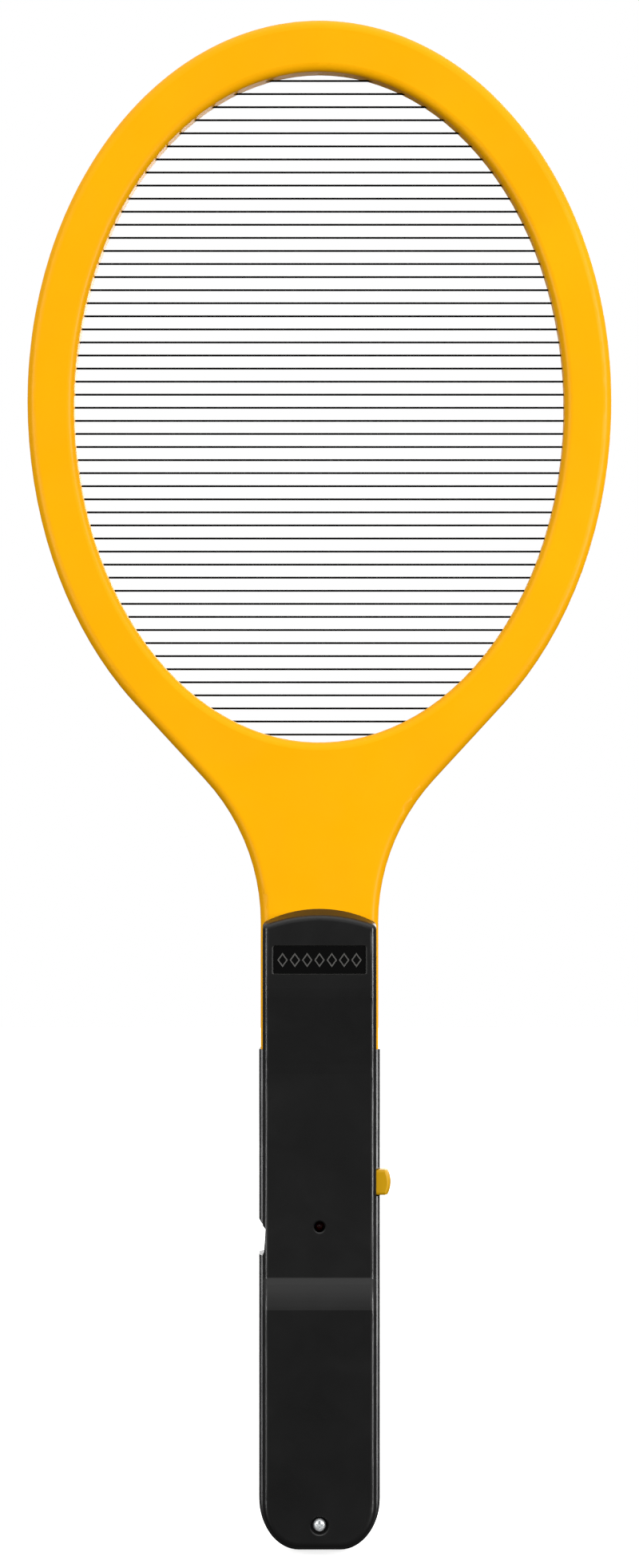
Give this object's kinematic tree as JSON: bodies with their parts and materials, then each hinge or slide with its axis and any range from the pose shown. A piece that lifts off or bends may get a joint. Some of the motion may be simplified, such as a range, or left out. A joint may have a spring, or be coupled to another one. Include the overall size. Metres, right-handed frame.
{
  "type": "electric fly swatter",
  "caption": "Racket-shaped electric fly swatter: an oval wire grid in a hollow yellow frame on a black battery handle with a side push button and a screwed front cover.",
  "frame": {"origin": "middle of the flat butt of the handle, in the plane where the two halves of the head meet", "axes": "+Z from the butt along the handle to the top of the head, +X to the side the button is on, -Y the front, which carries the cover"},
  "size_m": [0.1908, 0.0275, 0.5],
  "materials": {
    "yellow_abs": "moulded, semi-gloss",
    "black_abs": "moulded, satin",
    "mustard_abs": "moulded, satin",
    "grid_steel": "drawn wire, darkened",
    "tinned_strip": "tinned",
    "zinc_screw": "bright zinc",
    "spring_steel": "drawn wire",
    "contact_nickel": "nickel plated",
    "board_green": "lacquered laminate",
    "switch_black": "moulded",
    "plunger_white": "moulded",
    "ferrite": "sintered",
    "bobbin_nylon": "moulded",
    "copper_winding": "enamelled copper under tape",
    "film_red": "dipped",
    "ceramic_blue": "dipped",
    "diode_black": "moulded",
    "resistor_tan": "lacquered",
    "transistor_black": "moulded",
    "led_red": "tinted epoxy",
    "cell_sleeve": "shrink sleeve",
    "lead_red": "PVC insulation",
    "lead_black": "PVC insulation"
  },
  "bodies": {
    "handle_and_head": {"frame_front_half": "yellow_abs", "frame_rear_half": "yellow_abs", "live_grid_wires": "grid_steel", "return_grid_wires": "grid_steel", "live_bus_strip": "tinned_strip", "return_bus_strip": "tinned_strip", "rear_shell": "black_abs", "tongue_screws": "zinc_screw", "button_return_spring": "spring_steel", "switch_housing": "switch_black", "circuit_board": "board_green", "board_screws": "zinc_screw", "transformer_core": "ferrite", "transformer_bobbin": "bobbin_nylon", "transformer_winding": "copper_winding", "discharge_capacitor": "film_red", "multiplier_capacitors": "ceramic_blue", "rectifier_diodes": "diode_black", "resistors": "resistor_tan", "switching_transistor": "transistor_black", "indicator_led": "led_red", "battery_cell_left": "cell_sleeve", "battery_cell_right": "cell_sleeve", "cell_plate_contact": "contact_nickel", "cell_spring_contact": "contact_nickel", "cell_link_contact": "contact_nickel", "live_lead": "lead_red", "return_lead": "lead_black", "battery_lead_positive": "lead_red", "battery_lead_negative": "lead_black"},
    "battery_cover": {"front_cover": "black_abs", "cover_screw": "zinc_screw"},
    "button": {"power_button": "mustard_abs"},
    "plunger": {"switch_plunger": "plunger_white"}
  },
  "joints": [
    {"name": "cover_swing", "type": "hinge", "parent": "handle_and_head", "child": "battery_cover", "pos_m": [0, -0.0065, 0.2098], "axis": [-1, 0, 0], "range_deg": [0, 32]},
    {"name": "button_press", "type": "slide", "parent": "handle_and_head", "child": "button", "axis": [-1, 0, 0], "range_m": [0, 0.0013], "stiffness_N_per_m": 800, "springref_m": -0.0008, "deforming": ["button_return_spring"]},
    {"name": "plunger_press", "type": "slide", "parent": "handle_and_head", "child": "plunger", "axis": [-1, 0, 0], "range_m": [0, 0.0013]}
  ],
  "couplings": [
    {"joint": "plunger_press", "follows": "button_press", "ratio": 1}
  ]
}
